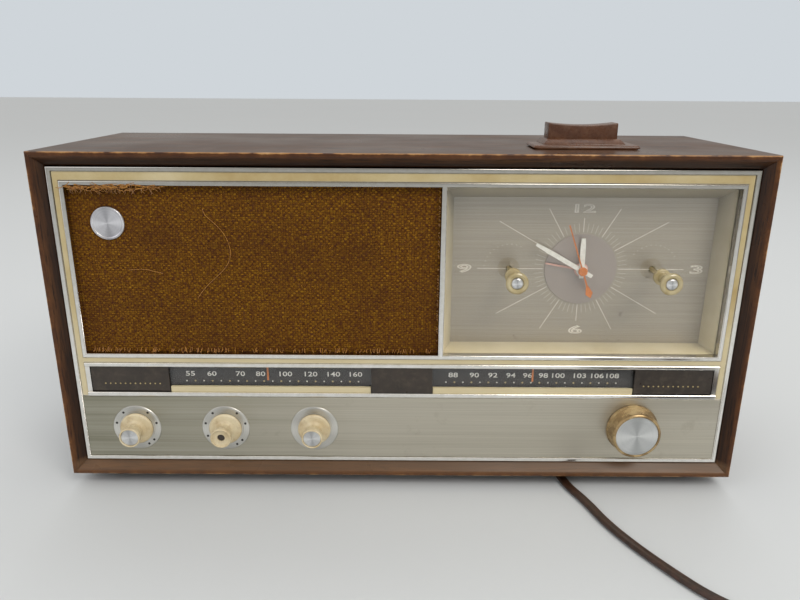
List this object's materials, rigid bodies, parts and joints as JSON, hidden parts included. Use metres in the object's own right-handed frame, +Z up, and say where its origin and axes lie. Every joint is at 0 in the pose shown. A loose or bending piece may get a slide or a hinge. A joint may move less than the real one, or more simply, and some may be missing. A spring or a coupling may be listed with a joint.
{
  "type": "table clock radio",
  "caption": "Wooden table clock radio with a cloth grille, slide-rule tuning dial, three small knobs, a tuning knob, an analogue clock with two post knobs and a snooze bar on top.",
  "frame": {"origin": "centre of the footprint, on the surface that the feet stand on; the free power cord is left out", "axes": "+Z up, the front with dial and knobs faces -Y, +X is to the right as seen from the front"},
  "size_m": [0.4764, 0.3853, 0.2214],
  "materials": {
    "walnut": "satin lacquered walnut",
    "pine": "raw softwood",
    "foot_rubber": "matt black rubber",
    "bright_plating": "bright plating on a moulding",
    "gold_foil": "pale gold satin inlay",
    "grille_weave": "brown and orange tweed",
    "fibreboard": "brown fibreboard",
    "satin_aluminium": "brushed",
    "black_print": "satin black",
    "dark_plastic": "polished dark brown",
    "clear_lens": "clear styrene",
    "cream_plastic": "cream moulding",
    "orange_paint": "orange",
    "white_paint": "white",
    "pink_paint": "pale pink",
    "zinc_steel": "zinc plated",
    "cadmium_steel": "plated chassis steel",
    "can_aluminium": "satin can",
    "iron_core": "laminated iron",
    "brass_vanes": "plain brass",
    "nylon_cord": "braided dial cord",
    "phenolic": "brown phenolic",
    "cone_paper": "black pulp cone",
    "ferrite": "black ferrite",
    "russet_plastic": "red-brown moulding",
    "brown_rubber": "dark brown cord rubber"
  },
  "bodies": {
    "cabinet": {"antenna_terminals": "phenolic", "back_cover": "fibreboard", "back_screws": "zinc_steel", "bezel_inlay": "gold_foil", "cabinet_bottom": "walnut", "cabinet_left_side": "walnut", "cabinet_right_side": "walnut", "cabinet_top": "walnut", "chassis": "cadmium_steel", "circuit_board": "phenolic", "clock_crystal": "clear_lens", "clock_dial": "satin_aluminium", "clock_movement": "zinc_steel", "clock_shroud": "cream_plastic", "control_panel": "satin_aluminium", "corner_blocks": "pine", "dial_blocks": "dark_plastic", "dial_cord": "nylon_cord", "dial_lens": "clear_lens", "dial_scale": "black_print", "feet": "foot_rubber", "ferrite_rod": "ferrite", "front_bezel": "bright_plating", "gang_frame": "zinc_steel", "grille_badge": "satin_aluminium", "grille_baffle": "fibreboard", "grille_cloth": "grille_weave", "if_cans": "can_aluminium", "knob_plates": "satin_aluminium", "power_cord_coil": "brown_rubber", "power_cord_run": "brown_rubber", "power_plug": "brown_rubber", "power_transformer": "iron_core", "selector_switch": "phenolic", "snooze_escutcheon": "russet_plastic", "speaker_cone": "cone_paper", "speaker_frame": "cadmium_steel", "strain_relief": "brown_rubber", "volume_and_tone_controls": "zinc_steel"},
    "volume": {"volume_knob": "cream_plastic", "volume_knob_cap": "satin_aluminium"},
    "tone": {"tone_knob": "cream_plastic"},
    "selector": {"selector_knob": "cream_plastic", "selector_knob_cap": "satin_aluminium"},
    "tuning": {"tuning_knob": "cream_plastic", "tuning_knob_face": "satin_aluminium", "tuning_shaft": "zinc_steel", "flywheel": "zinc_steel"},
    "gang": {"tuning_drum": "can_aluminium", "gang_rotor": "brass_vanes"},
    "carriage": {"pointer_carriage": "orange_paint"},
    "alarm_pointer": {"alarm_hand": "pink_paint"},
    "hour": {"hour_hand": "white_paint"},
    "minute": {"minute_hand": "white_paint", "time_set_knob": "phenolic"},
    "second": {"second_hand": "orange_paint"},
    "sleep_timer": {"sleep_timer_knob": "cream_plastic"},
    "wake_mode": {"wake_mode_knob": "cream_plastic"},
    "alarm_setting": {"alarm_set_knob": "phenolic"},
    "snooze": {"snooze_bar": "russet_plastic"}
  },
  "joints": [
    {"name": "volume_turn", "type": "hinge", "parent": "cabinet", "child": "volume", "pos_m": [-0.163, -0.0675, 0.0395], "axis": [0, 1, 0], "range_deg": [-150, 150]},
    {"name": "tone_turn", "type": "hinge", "parent": "cabinet", "child": "tone", "pos_m": [-0.10835, -0.0675, 0.0395], "axis": [0, 1, 0], "range_deg": [-150, 150]},
    {"name": "selector_turn", "type": "hinge", "parent": "cabinet", "child": "selector", "pos_m": [-0.0537, -0.0675, 0.0395], "axis": [0, 1, 0], "range_deg": [-45, 45]},
    {"name": "tuning_turn", "type": "hinge", "parent": "cabinet", "child": "tuning", "pos_m": [0.1418, -0.0675, 0.041], "axis": [0, 1, 0], "range_deg": [-730, 787]},
    {"name": "gang_turn", "type": "hinge", "parent": "cabinet", "child": "gang", "pos_m": [0, -0.0675, 0.057], "axis": [0, 1, 0], "range_deg": [-86, 93]},
    {"name": "pointer_slide", "type": "slide", "parent": "cabinet", "child": "carriage", "axis": [1, 0, 0], "range_m": [-0.051, 0.055]},
    {"name": "minute_turn", "type": "hinge", "parent": "cabinet", "child": "minute", "pos_m": [0.1069, -0.0675, 0.1371], "axis": [0, 1, 0], "continuous": true},
    {"name": "hour_turn", "type": "hinge", "parent": "cabinet", "child": "hour", "pos_m": [0.1069, -0.0675, 0.1371], "axis": [0, 1, 0], "continuous": true},
    {"name": "second_turn", "type": "hinge", "parent": "cabinet", "child": "second", "pos_m": [0.1069, -0.0675, 0.1371], "axis": [0, 1, 0], "continuous": true},
    {"name": "alarm_set_turn", "type": "hinge", "parent": "cabinet", "child": "alarm_setting", "pos_m": [0.1349, -0.0675, 0.1191], "axis": [0, 1, 0], "continuous": true},
    {"name": "alarm_pointer_turn", "type": "hinge", "parent": "cabinet", "child": "alarm_pointer", "pos_m": [0.1069, -0.0675, 0.1371], "axis": [0, 1, 0], "continuous": true},
    {"name": "sleep_timer_turn", "type": "hinge", "parent": "cabinet", "child": "sleep_timer", "pos_m": [0.0639, -0.0675, 0.1371], "axis": [0, 1, 0], "range_deg": [0, 300]},
    {"name": "wake_mode_turn", "type": "hinge", "parent": "cabinet", "child": "wake_mode", "pos_m": [0.1499, -0.0675, 0.1371], "axis": [0, 1, 0], "range_deg": [-60, 60]},
    {"name": "snooze_press", "type": "slide", "parent": "cabinet", "child": "snooze", "axis": [0, 0, -1], "range_m": [0, 0.0025], "stiffness_N_per_m": 600, "springref_m": -0.001}
  ],
  "couplings": [
    {"joint": "pointer_slide", "follows": "tuning_turn", "m_per_rad": 0.004},
    {"joint": "gang_turn", "follows": "tuning_turn", "ratio": 0.117},
    {"joint": "hour_turn", "follows": "minute_turn", "ratio": 0.083333},
    {"joint": "alarm_pointer_turn", "follows": "alarm_set_turn", "ratio": -0.5}
  ]
}
